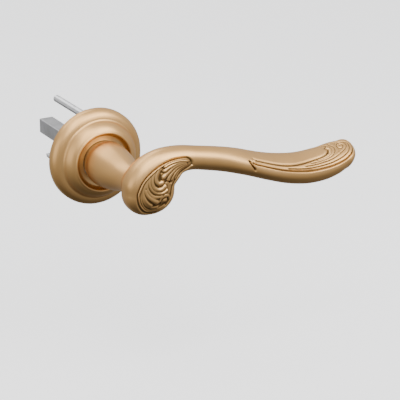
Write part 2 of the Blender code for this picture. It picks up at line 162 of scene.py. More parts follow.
def mesh_piece(name, verts, faces, material, angle=40.0):
    """A new object in the scene, with its faces turned outwards and its edges sharp past the angle."""
    verts = np.array(verts)
    if enclosed(verts, faces) < 0:
        faces = [face[::-1] for face in faces]
    mesh = bpy.data.meshes.new(name)
    mesh.from_pydata([tuple(v) for v in verts], [], faces)
    mesh.shade_smooth()
    mesh.set_sharp_from_angle(angle=math.radians(angle))
    piece = bpy.data.objects.new(name, mesh)
    bpy.context.scene.collection.objects.link(piece)
    if material is not None:
        piece.data.materials.append(material)
    return piece


def skin(name, rings, ends, material, angle=40.0, closed_tube=False):
    """A closed skin over rings of points, with a pole at each end or joined end to end."""
    count, sides, _ = rings.shape
    verts = list(to_world(rings.reshape(-1, 3)))
    faces = []
    rows = count if closed_tube else count - 1
    for i in range(rows):
        a, b = i * sides, ((i + 1) % count) * sides
        for j in range(sides):
            k = (j + 1) % sides
            faces.append((a + j, a + k, b + k, b + j))
    if not closed_tube:
        last = (count - 1) * sides
        first_pole = len(verts)
        verts += list(to_world(np.array(ends)))
        for j in range(sides):
            k = (j + 1) % sides
            faces.append((first_pole, k, j))
            faces.append((first_pole + 1, last + j, last + k))
    return mesh_piece(name, verts, faces, material, angle)


def turned(name, profile, material, segments=144, angle=30.0):
    """A closed profile of (radius, height) points turned about the spindle's axis.

    The profile runs down the outer side and back up the inner side."""
    profile = np.array(profile, float)
    turn = -np.linspace(0, 2 * math.pi, segments, endpoint=False)
    rings = np.stack([profile[:, 0][None] * np.cos(turn)[:, None],
                      profile[:, 0][None] * np.sin(turn)[:, None],
                      np.broadcast_to(profile[:, 1], (segments, len(profile)))], axis=-1)
    return skin(name, rings, None, material, angle, closed_tube=True)


def arc(centre, radius, start, end, steps):
    """Points along an arc from one angle to another, in degrees."""
    angles = np.radians(np.linspace(start, end, steps + 1))
    return [(centre[0] + radius * math.cos(a), centre[1] + radius * math.sin(a)) for a in angles]


def cut_away(piece, *tools):
    """Cuts closed tools out of a piece, for good."""
    for tool in tools:
        cutting = piece.modifiers.new("cut", "BOOLEAN")
        cutting.operation = "DIFFERENCE"
        cutting.solver = "MANIFOLD"
        cutting.object = tool
    bpy.context.view_layer.update()
    shown = piece.evaluated_get(bpy.context.evaluated_depsgraph_get())
    result = bpy.data.meshes.new_from_object(shown)
    piece.modifiers.clear()
    piece.data = result
    for tool in tools:
        bpy.data.objects.remove(tool, do_unlink=True)
    result.set_sharp_from_angle(angle=math.radians(35))
    return piece


def bar(profile, segments=64, name="tool", material=None):
    """A solid turned about the spindle's axis from (radius, height) points, top to bottom."""
    profile = np.array(profile, float)
    turn = np.linspace(0, 2 * math.pi, segments, endpoint=False)
    rings = np.stack([profile[:, 0][:, None] * np.cos(turn)[None],
                      profile[:, 0][:, None] * np.sin(turn)[None],
                      np.broadcast_to(profile[:, 1][:, None], (len(profile), segments))], axis=-1)
    ends = ((0, 0, profile[0, 1]), (0, 0, profile[-1, 1]))
    return skin(name, rings, ends, material, 30)


def block(size, centre):
    """A box, to cut with."""
    half = np.array(size, float) / 2
    corners = np.array([(-1, -1), (1, -1), (1, 1), (-1, 1)])
    rings = np.array([[(*(corner * half[:2]), end * half[2]) for corner in corners]
                      for end in (1, -1)])
    ends = ((0, 0, half[2]), (0, 0, -half[2]))
    return skin("tool", rings + np.array(centre), np.array(ends) + np.array(centre), None)


# ---------------------------------------------------------------- materials

class Nodes:
    """Short calls for building a material's nodes."""

    def __init__(self, name):
        self.material = bpy.data.materials.new(name)
        self.material.use_nodes = True
        self.tree = self.material.node_tree
        self.shader = self.tree.nodes["Principled BSDF"]

    def add(self, kind, links=(), **settings):
        node = self.tree.nodes.new(kind)
        for key, value in settings.items():
            if key[0].isupper():
                node.inputs[key.replace("_", " ")].default_value = value
            else:
                setattr(node, key, value)
        for socket, source in dict(links).items():
            self.tree.links.new(source, node.inputs[socket])
        return node

    def object_point(self, scale=(1, 1, 1)):
        place = self.add("ShaderNodeTexCoord")
        mapping = self.add("ShaderNodeMapping", {"Vector": place.outputs["Object"]})
        mapping.inputs["Scale"].default_value = scale
        return mapping.outputs["Vector"]

    def noise(self, vector, scale, detail=3.0, roughness=0.55):
        node = self.add("ShaderNodeTexNoise", {"Vector": vector}, Scale=scale, Detail=detail,
                        Roughness=roughness)
        return node.outputs["Fac"]

    def ramp(self, value, stops):
        node = self.add("ShaderNodeValToRGB", {"Fac": value})
        elements = node.color_ramp.elements
        while len(elements) < len(stops):
            elements.new(0.5)
        for element, (position, color) in zip(elements, stops):
            element.position = position
            element.color = (*color, 1.0)
        return node.outputs["Color"]

    def mix(self, share, first, second, blend="MIX"):
        node = self.add("ShaderNodeMix", data_type="RGBA", blend_type=blend)
        if share is None:
            node.inputs[0].default_value = 1.0
        else:
            self.tree.links.new(share, node.inputs[0])
        self.tree.links.new(first, node.inputs[6])
        self.tree.links.new(second, node.inputs[7])
        return node.outputs[2]

    def multiply(self, first, second):
        return self.mix(None, first, second, "MULTIPLY")

    def remap(self, value, low, high):
        node = self.add("ShaderNodeMapRange", {"Value": value}, To_Min=low, To_Max=high)
        return node.outputs["Result"]

    def bump(self, height, strength, distance):
        node = self.add("ShaderNodeBump", {"Height": height}, Strength=strength, Distance=distance)
        return node.outputs["Normal"]

    def finish(self, color, roughness, normal=None, metallic=1.0, **settings):
        self.tree.links.new(color, self.shader.inputs["Base Color"])
        self.tree.links.new(roughness, self.shader.inputs["Roughness"])
        if normal is not None:
            self.tree.links.new(normal, self.shader.inputs["Normal"])
        self.shader.inputs["Metallic"].default_value = metallic
        for key, value in settings.items():
            self.shader.inputs[key.replace("_", " ")].default_value = value
        return self.material


def crevice(nodes, distance):
    """1 on open surfaces, falling to 0 in grooves narrower than the distance."""
    node = nodes.add("ShaderNodeAmbientOcclusion", Distance=distance, samples=8)
    return node.outputs["AO"]


def satin_gold(name):
    """Satin champagne gold: cloudy tone, fine brushing, and painted shade that makes it browner and
    darker in the carving, corners and enclosed spaces.
    """
    nodes = Nodes(name)
    place = nodes.object_point()
    cloud = nodes.noise(place, 55.0, 4.0)
    tone = nodes.ramp(cloud, ((0.3, (0.83, 0.475, 0.175)), (0.7, (0.89, 0.525, 0.205))))
    # Painted shade: a duller, browner tone where the surface is enclosed within 7 mm
    painted_shade_tone = nodes.ramp(cloud, ((0.3, (0.64, 0.47, 0.25)), (0.7, (0.70, 0.52, 0.29))))
    tone = nodes.mix(nodes.remap(crevice(nodes, 0.007), 0.0, 1.0), painted_shade_tone, tone)
    # Painted shade: darker and bluer in corners tighter than 0.9 mm
    corner = nodes.ramp(nodes.remap(crevice(nodes, 0.0009), 0.0, 1.0),
                        ((0.1, (0.48, 0.50, 0.56)), (0.6, (1.0, 1.0, 1.0))))
    # Painted shade: dark in the carved grooves, by how far each spot lies below its softened
    # surroundings
    cavity = nodes.add("ShaderNodeAttribute", attribute_name="cavity")
    hollow = nodes.add("ShaderNodeMapRange", {"Value": cavity.outputs["Fac"]}, From_Min=-1.0)
    carved = nodes.ramp(hollow.outputs["Result"], ((0.22, (0.22, 0.205, 0.165)),
                                                  (0.49, (1.0, 1.0, 1.0)),
                                                  (1.0, (1.0, 1.0, 1.0))))
    color = nodes.multiply(nodes.multiply(tone, corner), carved)
    brushed = nodes.noise(place, 900.0, 3.0)
    roughness = nodes.remap(brushed, 0.31, 0.40)
    return nodes.finish(color, roughness, nodes.bump(brushed, 0.1, 0.00004))


def plated_steel(name, dark, light, grain, roughness=(0.25, 0.42)):
    """Zinc plated steel: brushed grain with a faint cloudy tint."""
    nodes = Nodes(name)
    cloud = nodes.noise(nodes.object_point(), 120.0, 5.0)
    color = nodes.ramp(cloud, ((0.3, dark), (0.7, light)))
    brushed = nodes.noise(nodes.object_point(grain), 700.0, 3.0)
    return nodes.finish(color, nodes.remap(brushed, *roughness), nodes.bump(brushed, 0.25, 0.00004))


def zinc_casting(name):
    """Bare die casting: grey, with a fine pebbled skin and cloudy flow marks."""
    nodes = Nodes(name)
    place = nodes.object_point()
    flow = nodes.noise(place, 90.0, 6.0)
    color = nodes.ramp(flow, ((0.25, (0.34, 0.345, 0.355)), (0.75, (0.50, 0.50, 0.505))))
    pebble = nodes.noise(place, 2600.0, 3.0)
    return nodes.finish(color, nodes.remap(flow, 0.42, 0.6), nodes.bump(pebble, 0.5, 0.00006))


def moulded_nylon(name):
    """Natural nylon: creamy, slightly cloudy, with a fine spark-eroded texture."""
    nodes = Nodes(name)
    place = nodes.object_point()
    cloud = nodes.noise(place, 160.0, 3.0)
    color = nodes.ramp(cloud, ((0.3, (0.74, 0.72, 0.66)), (0.7, (0.82, 0.81, 0.77))))
    fine = nodes.noise(place, 3000.0, 2.0)
    return nodes.finish(color, nodes.remap(fine, 0.42, 0.58), nodes.bump(fine, 0.2, 0.00004),
                        metallic=0.0, Subsurface_Weight=0.1)


# ---------------------------------------------------------------- the rose and the neck

ROSE_RADIUS = 26.0
ROSE_RIM_INSIDE = 25.2
COVER_HOLE = 11.1
RIDGE_RADIUS = 15.7
RIDGE_MIDDLE = 12.05
RIDGE_ROUND = 0.7
ROSE_SEGMENTS = 192

NECK_FOOT = 9.2
NECK_FOOT_RADIUS = 10.8
NECK_TOP = 48.2
NECK_SEGMENTS = 160
TENON_RADIUS = 5.0
TENON_TOP = 53.4
JOURNAL_RADIUS = 8.4
JOURNAL_END = 0.4
CIRCLIP_GROOVE = (7.6, 0.8, 1.8)    # radius, lower and upper edge
SOCKET = (8.4, 8.4, 35.0)
SOCKET_MIDDLE = 16.5
GRUB_HOLE_RADIUS = 2.3
GRUB_HOLE_LENGTH = 12.0
GRUB_HOLE_PLACE = (0, -8.0, 21.0)
ROTOR_FLAT = (20.0, 4.0, 1.6)
ROTOR_FLAT_OFFSET = 9.5
ROTOR_FLAT_HEIGHT = 4.9


def rounded(profile, per_step=4):
    """A profile with every step drawn as a smooth curve."""
    return [tuple(point) for point in smooth_line(profile, per_step)]


def make_rose(material):
    """The rose's cover: two turned steps with a ridge round the neck's hollow, and a hollow back."""
    outer = rounded([(COVER_HOLE, 9.95), (12.6, 9.95), (13.7, 10.1), (14.5, 10.8), (15.0, 11.9)])
    outer += arc((RIDGE_RADIUS, RIDGE_MIDDLE), RIDGE_ROUND, 150, 30, 10)
    outer += rounded([(16.5, 12.2), (17.3, 11.75), (18.3, 10.95), (19.2, 9.9), (19.95, 8.7),
                      (20.3, 7.9), (20.65, 7.1), (21.2, 6.6), (22.0, 6.35), (22.8, 6.05),
                      (23.6, 5.65), (24.5, 4.95), (25.25, 4.05), (25.75, 3.1), (25.95, 2.2),
                      (ROSE_RADIUS, 1.2), (ROSE_RADIUS, 0.15)])
    outer += [(ROSE_RADIUS - 0.15, 0.0), (ROSE_RIM_INSIDE, 0.0)]
    inner = [(ROSE_RIM_INSIDE, 1.8), (24.7, 3.4), (23.7, 4.55), (22.4, 5.3), (20.2, 5.6), (19.9, 6.8),
             (19.2, 8.3), (18.1, 9.85), (16.8, 11.0), (15.9, 11.55), (15.4, 10.9), (14.9, 9.7),
             (14.0, 9.2), (COVER_HOLE, 9.15)]
    return turned("rose_shell", outer + inner, material, segments=ROSE_SEGMENTS)


def make_neck(material):
    """The bell-shaped neck on its journal, with the tenon that the lever is fixed on."""
    profile = [(TENON_RADIUS - 0.6, TENON_TOP), (TENON_RADIUS - 0.2, TENON_TOP - 0.1),
               (TENON_RADIUS, TENON_TOP - 0.4), (TENON_RADIUS, NECK_TOP), (7.1, NECK_TOP),
               (7.3, NECK_TOP - 0.2)]
    profile += rounded([(7.3, NECK_TOP - 0.6), (7.35, 43.5), (7.75, 39.5), (8.45, 35.8), (9.45, 31.8),
                        (10.5, 27.6), (11.25, 23.5), (11.75, 19.2), (11.95, 16.0),
                        (11.75, 13.6), (11.3, 12.1), (10.9, 10.9), (NECK_FOOT_RADIUS, 9.6)], 6)
    profile += arc((NECK_FOOT_RADIUS - 0.3, NECK_FOOT + 0.3), 0.3, 0, -90, 4)
    groove_radius, groove_bottom, groove_top = CIRCLIP_GROOVE
    profile += [(JOURNAL_RADIUS, NECK_FOOT), (JOURNAL_RADIUS, groove_top),
                (groove_radius, groove_top), (groove_radius, groove_bottom),
                (JOURNAL_RADIUS, groove_bottom), (JOURNAL_RADIUS, JOURNAL_END + 0.2),
                (JOURNAL_RADIUS - 0.2, JOURNAL_END)]
    neck = bar(profile, NECK_SEGMENTS, name="neck_turned", material=material)
    socket = block(SOCKET, (0, 0, SOCKET_MIDDLE))
    flats = [block(ROTOR_FLAT, (0, side * ROTOR_FLAT_OFFSET, ROTOR_FLAT_HEIGHT)) for side in (1, -1)]
    grub_end = GRUB_HOLE_LENGTH / 2
    grub = bar([(GRUB_HOLE_RADIUS, grub_end), (GRUB_HOLE_RADIUS, -grub_end)], 48)
    grub.data.transform(Matrix.Rotation(QUARTER, 4, "X"))
    grub.data.transform(Matrix.Translation(to_world(GRUB_HOLE_PLACE)))
    return cut_away(neck, socket, grub, *flats)


# ---------------------------------------------------------------- screws and springs

SCREW_SIDES = 32
THREAD_RINGS_PER_TURN = 8
DOME_SHARE = 0.75       # how much of a head's height is its dome
SLOT_LENGTH = 1.3       # of the head's radius
SLOT_WIDTH = 0.24       # of the head's radius
SLOT_DEPTH = 0.55
POINT_BLUNTNESS = 0.12

# Each kind of screw: head (radius, bottom, top), shank (radius, end, length of the point),
# thread (pitch, depth)
THROUGH_BOLT = ((3.4, 2.7, 4.8), (1.95, -45.0, 0.0), (0.7, 0.36))
WOOD_SCREW = ((2.4, 3.2, 4.5), (1.3, -15.0, 3.0), (1.3, 0.4))
LID_SCREW = ((1.6, 7.95, 8.7), (0.85, 4.0, 0.0), (0.4, 0.18))
THROUGH_BOLT_PLACE = 19.0
WOOD_SCREW_PLACE = 20.6
LID_SCREW_PLACE = 11.5

WIRE_SIDES = 16
WIRE_END_SHARES = (0.5, 0.85)       # of the wire's radius: the rings that round its ends off
COIL_START = 279.0
COIL_TURNS = 1.67
COIL_BOTTOM = 4.9
COIL_RISE = 1.837
COIL_RADIUS = 12.9
COIL_INNER_LEG = (10.9, 11.6, 12.2)
COIL_OUTER_LEG = (13.6, 15.0, 16.2)
COIL_BEND = 1.5
COIL_STEPS = 110
COIL_WIRE_RADIUS = 0.5
RING_RADIUS = 24.45
RING_HEIGHT = 1.8
RING_GAP = 15.0
RING_STEPS = 160
RING_WIRE_RADIUS = 0.42


def threaded(name, material, place, kind):
    """A screw of one kind standing out of the door at (x, y), with a cross in its domed head."""
    head, shank, thread = kind
    head_radius, head_bottom, head_top = head
    radius, end, point = shank
    pitch, depth = thread
    turn = 2 * math.pi * np.arange(SCREW_SIDES) / SCREW_SIDES
    dome_height = DOME_SHARE * (head_top - head_bottom)
    dome_foot = head_top - dome_height
    rows = [(head_radius * across, dome_foot + rise * dome_height)
            for across, rise in arc((0.0, 0.0), 1.0, 82, 0, 10)]
    rows += [(head_radius, head_bottom + 0.1), (head_radius - 0.1, head_bottom)]

    def ring(r, height):
        return np.stack([np.cos(turn) * r, np.sin(turn) * r, np.full(SCREW_SIDES, height)], axis=1)

    rings = [ring(r, height) for r, height in rows]
    for height in np.arange(head_bottom, end, -pitch / THREAD_RINGS_PER_TURN):
        wave = np.abs(((height / pitch - turn / (2 * math.pi)) % 1.0) * 2 - 1)
        near_head = min(1.0, (head_bottom - height) / (2 * pitch))
        r = radius - depth * wave * near_head
        if point:
            r = r * min(1.0, max(POINT_BLUNTNESS, (height - end) / point))
        rings.append(ring(r, height))
    rings = np.array(rings) + np.array((*place, 0.0))
    ends = ((*place, rings[0, 0, 2] + 0.02), (*place, end))
    screw = skin(name, rings, ends, material, 50)
    long_way, short_way = head_radius * SLOT_LENGTH, head_radius * SLOT_WIDTH
    slots = [block((across, up, 2 * SLOT_DEPTH + 0.1), (*place, head_top + 0.05))
             for across, up in ((long_way, short_way), (short_way, long_way))]
    return cut_away(screw, *slots)


def wire(name, path, radius, material):
    """A round wire along a level or gently climbing path."""
    way = np.gradient(path, axis=0)
    way /= np.linalg.norm(way, axis=1)[:, None]
    side = np.cross(way, (0, 0, 1.0))
    side /= np.linalg.norm(side, axis=1)[:, None]
    up = np.cross(side, way)
    turn = 2 * math.pi * np.arange(WIRE_SIDES) / WIRE_SIDES
    ring = np.cos(turn)[None, :, None] * side[:, None] + np.sin(turn)[None, :, None] * up[:, None]
    rings = path[:, None] + radius * ring
    rounds = [(share, math.sqrt(1 - share ** 2) * radius) for share in WIRE_END_SHARES]
    first = [path[0] + share * radius * ring[0] - way[0] * reach for share, reach in rounds]
    last = [path[-1] + share * radius * ring[-1] + way[-1] * reach for share, reach in rounds[::-1]]
    rings = np.concatenate([first, rings, last])
    ends = (path[0] - way[0] * radius, path[-1] + way[-1] * radius)
    return skin(name, rings, ends, material)


def polar(radius, degrees, height):
    """The point at a radius and an angle round the spindle's axis."""
    angle = math.radians(degrees)
    return radius * math.cos(angle), radius * math.sin(angle), height


def make_spring(material):
    """The return coil, from its lower inner leg round to its upper outer leg; in the lock its lower
    leg goes with the lever and its upper leg stays.
    """
    low, high, sweep = COIL_BOTTOM, COIL_BOTTOM + COIL_RISE, 360 * COIL_TURNS
    end = COIL_START + sweep
    path = [polar(radius, COIL_START, low) for radius in COIL_INNER_LEG]
    path.append(polar(COIL_RADIUS - 0.2, COIL_START + COIL_BEND, low + 0.01))
    for share in np.linspace(0.012, 0.988, COIL_STEPS):
        path.append(polar(COIL_RADIUS, COIL_START + sweep * share, low + COIL_RISE * share))
    path.append(polar(COIL_RADIUS + 0.2, end - COIL_BEND, high - 0.01))
    path += [polar(radius, end, high) for radius in COIL_OUTER_LEG]
    coil = wire("return_coil", smooth_line(path, 2), COIL_WIRE_RADIUS, material)
    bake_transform(coil)

    # How far round the coil each point lies, which its height alone doesn't tell
    spots = np.array([v.co for v in coil.data.vertices]) / MM
    turned_by = (np.degrees(np.arctan2(spots[:, 2], spots[:, 0])) - COIL_START) % 360
    lap = np.round((-spots[:, 1] - low - COIL_RISE * turned_by / sweep) / (COIL_RISE / COIL_TURNS))
    share = np.clip((turned_by + 360 * np.maximum(lap, 0)) / sweep, 0, 1)
    on_inner_leg = np.hypot(spots[:, 0], spots[:, 2]) < COIL_INNER_LEG[-1]
    just_before_start = (turned_by > 355) & (lap < 0)
    share[on_inner_leg | just_before_start] = 0.0
    return coil


def make_cover_ring(material):
    """The open wire ring that the cover snaps over."""
    path = [polar(RING_RADIUS, angle, RING_HEIGHT)
            for angle in np.linspace(RING_GAP, 360 - RING_GAP, RING_STEPS)]
    return wire("cover_snap_ring", np.array(path), RING_WIRE_RADIUS, material)


# ---------------------------------------------------------------- the lever grip

# The stations of the CAD model's grip: x, y, z in the door's frame, the direction across the
# grip in degrees, half the width, half the thickness, the roll in degrees, and the squareness.
GRIP_STATIONS = np.array((
    (3.2, -3.4, 54.2, 178, 13.6, 8.4, 0, 2.7),
    (3.4, 1.6, 54.4, 170, 13.8, 8.4, 0, 2.7),
    (6.1, 5.7, 54.7, 158, 13.1, 8.1, 0, 2.6),
    (9.9, 8.9, 55.1, 146, 11.7, 7.7, 0, 2.4),
    (14.1, 11.2, 55.6, 135, 9.9, 7.1, 0, 2.2),
    (19.1, 12.0, 55.9, 122, 8.1, 6.8, 5, 2.1),
    (25.0, 11.7, 56.1, 109, 7.0, 6.5, 15, 2.0),
    (32.0, 10.3, 56.3, 103, 6.7, 6.5, 28, 2.0),
    (43.0, 7.9, 56.6, 103, 7.1, 6.6, 40, 2.0),
    (55.0, 4.5, 56.9, 107, 8.2, 6.8, 50, 2.1),
    (67.0, 0.4, 57.0, 108, 9.2, 6.9, 58, 2.2),
    (79.0, -3.1, 57.0, 103, 9.5, 6.8, 62, 2.3),
    (92.0, -5.2, 57.0, 96, 9.7, 6.6, 64, 2.4),
    (104.0, -4.9, 57.0, 87, 9.9, 6.4, 64, 2.5),
    (112.0, -3.5, 57.0, 82, 9.7, 6.2, 64, 2.5),
    (117.5, -2.3, 57.0, 80, 8.6, 5.8, 64, 2.5),
))
DROP_END_LENGTH = 12.1
TIP_END_LENGTH = 6.9
NECK_SEAT_RADIUS = 7.6
NECK_SEAT_HEIGHT = 48.5
TENON_HOLE_RADIUS = 5.3
TENON_HOLE_TOP = 53.7

# The grip's rings lie close together where it is carved, and further apart on the plain stem
LEAF_END = 34.0
PADDLE_START = 60.0
LEAF_RING_STEP = 0.2
STEM_RING_STEP = 0.8
PADDLE_RING_STEP = 0.26
END_RINGS = 44
GRIP_SIDES = 250
SIDE_CROWDING = 0.45
DIRECTION_STEP = 0.5
CARVING_SOFTENING = 2
# The spread and the depth that mark the grooves for the gold's painted shade
CAVITY_SOFTENING = 14
CAVITY_DEPTH = 0.22

# The leaf on the drop, as (x, y) lines in the door's plane
LEAF_OUTLINE = ((24.3, 9.6), (23.9, 12.0), (21.9, 14.0), (18.3, 14.7), (12.8, 14.6), (7.9, 13.2),
                (3.6, 11.2), (-0.5, 8.4), (-4.3, 4.4), (-6.2, -0.1), (-6.6, -2.8), (-6.0, -6.5),
                (-4.4, -9.7), (-2.3, -12.0), (0.3, -13.3), (2.7, -13.7), (5.1, -13.3),
                (7.6, -12.3), (10.0, -10.6), (12.0, -8.0), (13.4, -4.6), (14.2, -1.0),
                (15.4, 1.6), (17.2, 4.0), (19.8, 6.2), (22.6, 8.0))
LEAF_FLOOR = -0.85
LEAF_EDGE_WIDTH = 0.5
LEAF_FACING = (0.02, 0.25)      # the carving fades out as the skin turns away from the front
# Each ridge: half width at its start and end, rise at its start and end, points
LEAF_RIDGES = (
    # thin rib inside the outline, and the two ribs round the lower left
    ((0.42, 0.42), (0.8, 0.8), ((22.4, 12.4), (21.0, 13.4), (18.0, 13.8), (14.0, 13.7),
                                (9.8, 12.9), (4.7, 10.8), (0.2, 7.8), (-3.3, 4.3),
                                (-5.4, -0.4), (-5.7, -2.8), (-5.0, -6.4), (-3.6, -8.9),
                                (-1.5, -11.1), (1.2, -12.3), (4.4, -12.6), (7.4, -11.8),
                                (9.8, -10.2))),
    ((0.35, 0.45), (0.1, 0.8), ((-3.0, 3.6), (-4.3, 0.8), (-4.7, -2.0), (-4.4, -4.8),
                                (-3.3, -7.6), (-1.4, -9.9), (1.2, -11.3), (4.2, -11.6),
                                (7.0, -11.0), (9.2, -9.8))),
    # the fan of flutes from the leaf's point
    ((0.9, 0.75), (0.65, 0.8), ((21.9, 12.2), (17.5, 13.0), (14.0, 12.8), (11.0, 12.2),
                                (8.8, 11.3))),
    ((0.7, 0.95), (0.5, 0.8), ((20.6, 11.9), (16.4, 11.9), (13.3, 11.2), (10.6, 10.2),
                               (8.6, 9.1))),
    ((0.6, 1.25), (0.5, 0.95), ((20.4, 11.5), (15.8, 10.8), (13.0, 9.6), (10.8, 8.1),
                                (9.2, 6.9), (8.0, 5.8))),
    ((0.6, 1.15), (0.5, 0.85), ((20.6, 10.9), (16.4, 9.6), (13.9, 8.1), (12.3, 6.6), (11.2, 5.2),
                                (10.8, 4.0))),
    ((0.5, 1.0), (0.45, 0.8), ((21.0, 10.3), (17.4, 8.5), (15.2, 6.9), (13.8, 5.2),
                               (13.2, 3.7))),
    ((0.4, 0.8), (0.4, 0.7), ((21.2, 9.7), (18.2, 7.9), (16.2, 6.0), (15.1, 3.9))),
    # the curled lobes below the fan
    ((0.5, 1.35), (0.05, 0.95), ((8.4, 12.2), (5.6, 10.2), (4.2, 8.0), (3.7, 5.8), (4.1, 4.0),
                                 (5.4, 2.8), (7.0, 3.0))),
    ((0.5, 1.3), (0.05, 0.95), ((5.6, 11.2), (3.0, 8.6), (1.9, 6.0), (1.9, 3.4), (2.9, 1.1),
                                (4.8, -0.3), (7.0, -0.4), (8.8, 0.6))),
    ((0.5, 0.95), (0.05, 0.8), ((2.8, 9.4), (0.6, 6.4), (0.2, 3.4), (1.2, 0.6), (3.0, -1.4),
                                (5.4, -2.4), (8.0, -2.5), (10.2, -1.6))),
    ((0.5, 0.8), (0.05, 0.7), ((0.6, 7.6), (-1.0, 4.6), (-1.2, 1.6), (0.2, -1.4), (2.4, -3.4),
                               (5.0, -4.3), (7.0, -4.2))),
    # the arch over the small volute, and the volute's eye
    ((0.5, 0.5), (0.6, 0.75), ((6.0, -7.2), (6.5, -5.7), (7.9, -4.6), (9.9, -4.3), (11.5, -5.0),
                               (12.1, -6.4))),
    ((1.0, 1.0), (0.7, 0.7), ((8.8, -6.9), (9.6, -6.6))),
    # the long lower lobes
    ((0.5, 1.5), (0.05, 0.95), ((-1.4, 5.6), (-2.3, 2.6), (-2.0, -0.2), (-0.7, -2.8),
                                (1.4, -5.0), (4.2, -7.0))),
    ((0.4, 1.1), (0.05, 0.8), ((-2.6, 4.2), (-3.4, 1.2), (-3.2, -1.8), (-2.2, -4.6),
                               (-0.6, -6.9), (1.2, -8.4))),
    ((0.35, 0.8), (0.05, 0.65), ((-3.6, 2.4), (-4.0, -0.6), (-3.7, -3.6), (-2.6, -6.4),
                                 (-0.8, -8.6), (1.8, -9.9), (5.0, -10.1))),
)
# Lines engraved a little deeper: half width, depth, points
LEAF_LINES = (
    (0.40, 0.55, LEAF_OUTLINE[:17]),
    (0.35, 0.45, ((8.1, 10.4), (6.6, 9.0), (6.0, 7.2), (6.3, 5.6))),
    (0.45, 0.5, ((10.2, 3.4), (11.8, 2.5), (13.2, 1.6))),
)
# Each pit: centre, radius, depth
LEAF_PITS = (((7.0, 11.0), 0.42, 0.6), ((7.2, 8.5), 0.42, 0.6), ((12.6, 2.3), 0.8, 0.7),
             ((9.6, 3.2), 0.6, 0.6), ((11.0, -6.2), 0.55, 0.6), ((6.6, -8.6), 0.6, 0.6),
             ((-2.0, 1.2), 0.3, 0.4))

# The paddle's carving, as (distance along the grip, offset towards the lower edge) lines
PANEL_EDGE = ((66.4, 4.5), (68.3, 5.0), (71.7, 5.4), (76.1, 6.0), (80.7, 6.5), (85.3, 6.9),
              (89.9, 7.2), (94.5, 7.4), (99.1, 7.6), (103.7, 7.7), (108.3, 7.8), (113.2, 7.8),
              (118.0, 7.7), (122.2, 7.2), (125.2, 6.2), (128.0, 4.5), (129.9, 2.1),
              (130.8, -0.9), (130.0, -3.9), (127.7, -6.2), (124.4, -7.8), (119.8, -8.6),
              (112.0, -9.1), (104.0, -9.2), (95.0, -9.1), (86.0, -8.9), (78.0, -8.2),
              (71.0, -7.3), (67.0, -6.6))
TONGUE_EDGE = ((65.0, 0.6), (67.0, 1.9), (69.6, 2.5), (73.4, 3.0), (77.8, 3.6), (82.4, 4.1),
               (86.8, 4.3), (91.6, 4.2), (96.6, 3.6), (101.6, 2.7), (106.7, 1.9), (110.4, 1.4),
               (113.0, 0.6), (114.9, -0.7), (115.6, -2.4), (115.2, -3.5), (114.5, -4.0),
               (115.7, -4.8), (116.0, -6.0), (114.8, -6.9), (110.0, -7.3), (100.0, -7.3),
               (90.0, -7.0), (80.0, -6.4), (71.0, -5.6), (65.0, -5.4))
PANEL_FLOOR = -0.22
PANEL_EDGE_WIDTH = 0.8
TONGUE_EDGE_DROP = -0.4
TONGUE_EDGE_WIDTH = 1.8
TONGUE_START_WIDTH = 1.5
PADDLE_FACING = (0.0, 0.3)
# Engraved lines: half width, depth, points
PADDLE_LINES = (
    (0.62, 0.85, PANEL_EDGE[:19]),
    (0.50, 0.50, PANEL_EDGE[18:]),
    (0.55, 0.60, TONGUE_EDGE[2:15]),
    (0.40, 0.35, TONGUE_EDGE[14:]),
    # ribs that run from the middle of the panel round the tip
    (0.42, 0.45, ((88.0, 6.0), (93.0, 6.2), (98.0, 6.4), (104.0, 6.4), (110.0, 6.3), (115.0, 6.1),
                  (119.0, 5.7), (122.4, 4.9), (125.3, 3.6), (127.2, 1.6), (127.9, -0.8),
                  (127.1, -3.2), (124.9, -5.2), (121.3, -6.4), (117.8, -6.8))),
    (0.42, 0.45, ((99.0, 5.0), (104.0, 5.0), (110.0, 4.7), (114.6, 4.3), (118.4, 3.5),
                  (121.4, 2.4), (124.0, 1.3), (126.0, -0.1), (126.5, -2.0), (125.6, -3.9),
                  (123.6, -4.7), (121.7, -3.9), (121.0, -2.1), (121.9, -0.5), (123.5, -0.4),
                  (124.6, -1.5), (124.2, -2.8), (122.9, -2.7))),
    (0.42, 0.42, ((103.0, 3.8), (108.0, 3.6), (112.5, 3.1), (116.2, 2.2), (118.4, 0.6),
                  (119.2, -1.4), (118.9, -3.5), (117.6, -5.5))),
    (0.38, 0.38, ((107.0, 2.7), (111.5, 2.2), (114.8, 1.3), (116.8, -0.1), (117.6, -2.0),
                  (117.4, -3.9), (116.6, -5.6))),
    (0.35, 0.30, ((120.3, 1.6), (121.0, 0.2), (120.2, -1.6), (120.2, -3.6), (121.4, -5.2))),
    (0.35, 0.30, ((72.0, -6.4), (80.0, -7.3), (90.0, -7.8), (100.0, -8.0), (110.0, -8.0))),
    (0.70, 0.35, ((114.4, 0.0), (115.9, -1.3), (116.2, -2.9))),
)
# The dark notch where the panel begins (half width, depth, points), and the bead beside it
NOTCH = (0.9, 1.2, ((64.7, 3.6), (64.8, 4.6), (65.1, 5.8), (65.7, 7.2)))
BEAD_PLACE = (67.8, 2.9)
BEAD_RADIUS = 0.9
BEAD_RISE = 0.35


def knots_of(stations):
    """The distance along the grip to each of its stations."""
    return np.concatenate([[0], np.cumsum(np.linalg.norm(np.diff(stations[:, :3], axis=0), axis=1))])


